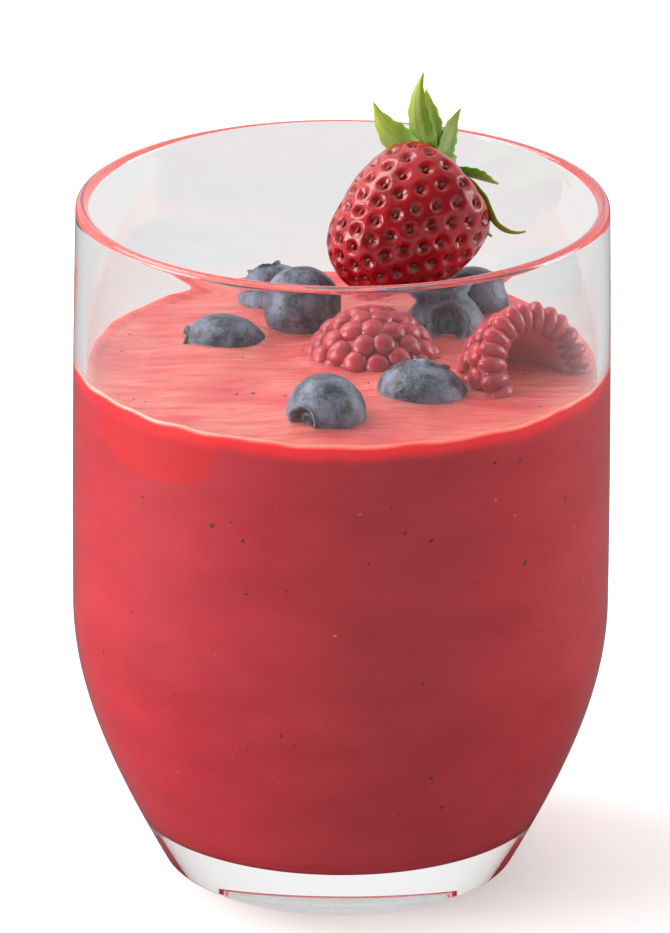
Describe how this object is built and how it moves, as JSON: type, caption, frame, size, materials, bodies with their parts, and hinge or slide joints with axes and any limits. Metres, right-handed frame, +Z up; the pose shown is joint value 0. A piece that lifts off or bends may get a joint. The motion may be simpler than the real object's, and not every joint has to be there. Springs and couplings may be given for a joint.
{
  "type": "berry smoothie",
  "caption": "Red berry smoothie in a clear tumbler with a thick foot, topped with blueberries, raspberries and a leafy strawberry.",
  "frame": {"origin": "centre of the flat underside of the glass's foot", "axes": "+Z up along the glass's axis, -Y to the front that the picture shows, +X to its right"},
  "size_m": [0.088, 0.088, 0.1235],
  "materials": {
    "glass": "clear polished",
    "smoothie": "smooth wet fruit puree",
    "strawberry": "glossy ripe fruit skin",
    "leaves": "matte leaf",
    "blueberry": "dark skin with pale bloom",
    "raspberry": "soft satin fruit beads"
  },
  "bodies": {
    "root": {"glass": "glass", "smoothie": "smoothie", "strawberry": "strawberry", "strawberry_leaves": "leaves", "blueberry_1": "blueberry", "blueberry_2": "blueberry", "blueberry_3": "blueberry", "blueberry_4": "blueberry", "blueberry_5": "blueberry", "blueberry_6": "blueberry", "blueberry_7": "blueberry", "raspberry_1": "raspberry", "raspberry_2": "raspberry"}
  },
  "joints": []
}
